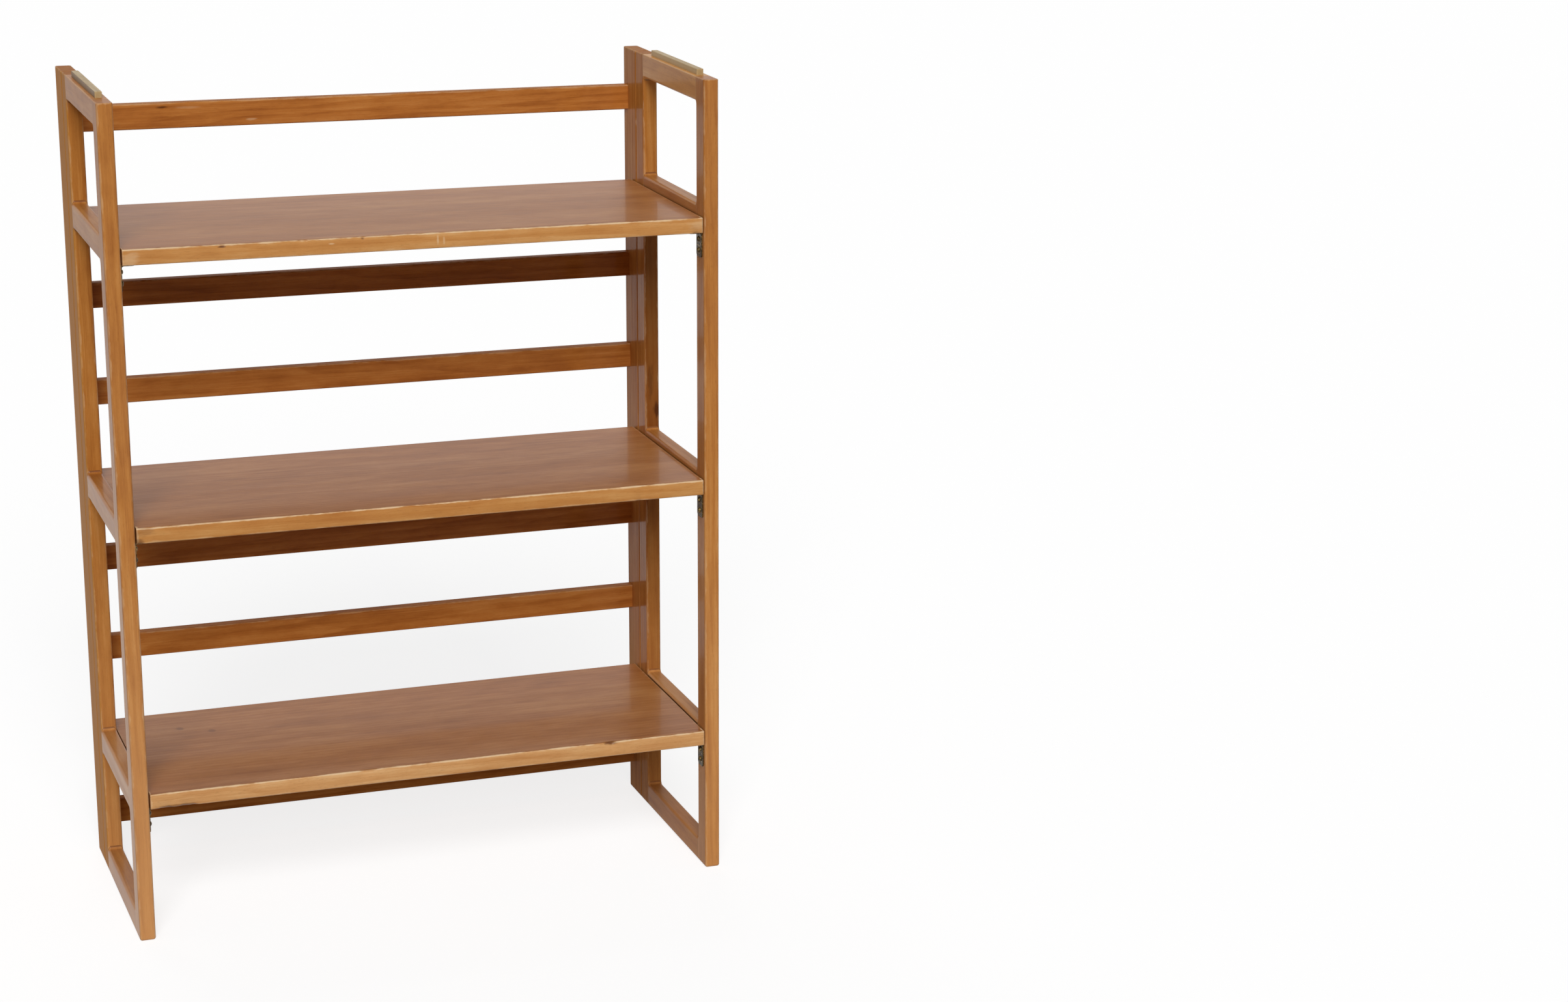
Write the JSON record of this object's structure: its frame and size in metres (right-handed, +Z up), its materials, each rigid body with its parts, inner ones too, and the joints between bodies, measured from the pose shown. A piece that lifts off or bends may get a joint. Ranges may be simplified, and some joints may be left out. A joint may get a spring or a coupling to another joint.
{
  "type": "folding bookcase",
  "caption": "Low wooden bookcase on two slender open side frames joined by back slats, with flush shelves that tip up about rear pins for folding.",
  "frame": {"origin": "centre of the footprint, on the floor", "axes": "+X to the right seen from the front, the front faces -Y, +Z up"},
  "size_m": [0.698, 0.312, 0.967],
  "materials": {
    "frame_wood": "honey-brown stained hardwood under satin lacquer",
    "slat_wood": "honey-brown stained hardwood under satin lacquer",
    "shelf_wood": "brown stained board under gloss lacquer",
    "lipping_wood": "lighter, slightly worn lacquered edge",
    "raw_wood": "bare pale wood",
    "bracket_brass": "dark antique brass",
    "screw_brass": "dark antique brass, rubbed bright on the crowns",
    "hinge_brass": "dull brass",
    "steel": "bright steel"
  },
  "bodies": {
    "case": {"back_slat_1_below_bottom_shelf": "slat_wood", "back_slat_2_above_bottom_shelf": "slat_wood", "back_slat_3_below_middle_shelf": "slat_wood", "back_slat_4_above_middle_shelf": "slat_wood", "back_slat_5_below_top_shelf": "slat_wood", "back_slat_6_top": "slat_wood", "bracket_screws": "screw_brass", "hinge_pins": "steel", "hinge_screws": "steel", "left_back_stile": "frame_wood", "left_bottom_shelf_bracket": "bracket_brass", "left_bottom_shelf_rail": "frame_wood", "left_floor_rail": "frame_wood", "left_front_stile": "frame_wood", "left_lower_hinge_back_leaf": "hinge_brass", "left_lower_hinge_frame_leaf": "hinge_brass", "left_middle_shelf_bracket": "bracket_brass", "left_middle_shelf_rail": "frame_wood", "left_rear_stile": "frame_wood", "left_stacking_cleat": "raw_wood", "left_top_rail": "frame_wood", "left_top_shelf_bracket": "bracket_brass", "left_top_shelf_rail": "frame_wood", "left_upper_hinge_back_leaf": "hinge_brass", "left_upper_hinge_frame_leaf": "hinge_brass", "right_back_stile": "frame_wood", "right_bottom_shelf_bracket": "bracket_brass", "right_bottom_shelf_rail": "frame_wood", "right_floor_rail": "frame_wood", "right_front_stile": "frame_wood", "right_lower_hinge_back_leaf": "hinge_brass", "right_lower_hinge_frame_leaf": "hinge_brass", "right_middle_shelf_bracket": "bracket_brass", "right_middle_shelf_rail": "frame_wood", "right_rear_stile": "frame_wood", "right_stacking_cleat": "raw_wood", "right_top_rail": "frame_wood", "right_top_shelf_bracket": "bracket_brass", "right_top_shelf_rail": "frame_wood", "right_upper_hinge_back_leaf": "hinge_brass", "right_upper_hinge_frame_leaf": "hinge_brass", "shelf_pivot_pins": "steel"},
    "bottom_shelf": {"bottom_shelf_panel": "shelf_wood", "bottom_shelf_lipping": "lipping_wood"},
    "middle_shelf": {"middle_shelf_panel": "shelf_wood", "middle_shelf_lipping": "lipping_wood"},
    "top_shelf": {"top_shelf_panel": "shelf_wood", "top_shelf_lipping": "lipping_wood"}
  },
  "joints": [
    {"name": "bottom_shelf_hinge", "type": "hinge", "parent": "case", "child": "bottom_shelf", "pos_m": [0, 0.119, 0.167], "axis": [-1, 0, 0], "range_deg": [0, 90]},
    {"name": "middle_shelf_hinge", "type": "hinge", "parent": "case", "child": "middle_shelf", "pos_m": [0, 0.119, 0.4795], "axis": [-1, 0, 0], "range_deg": [0, 90]},
    {"name": "top_shelf_hinge", "type": "hinge", "parent": "case", "child": "top_shelf", "pos_m": [0, 0.119, 0.792], "axis": [-1, 0, 0], "range_deg": [0, 90]}
  ]
}
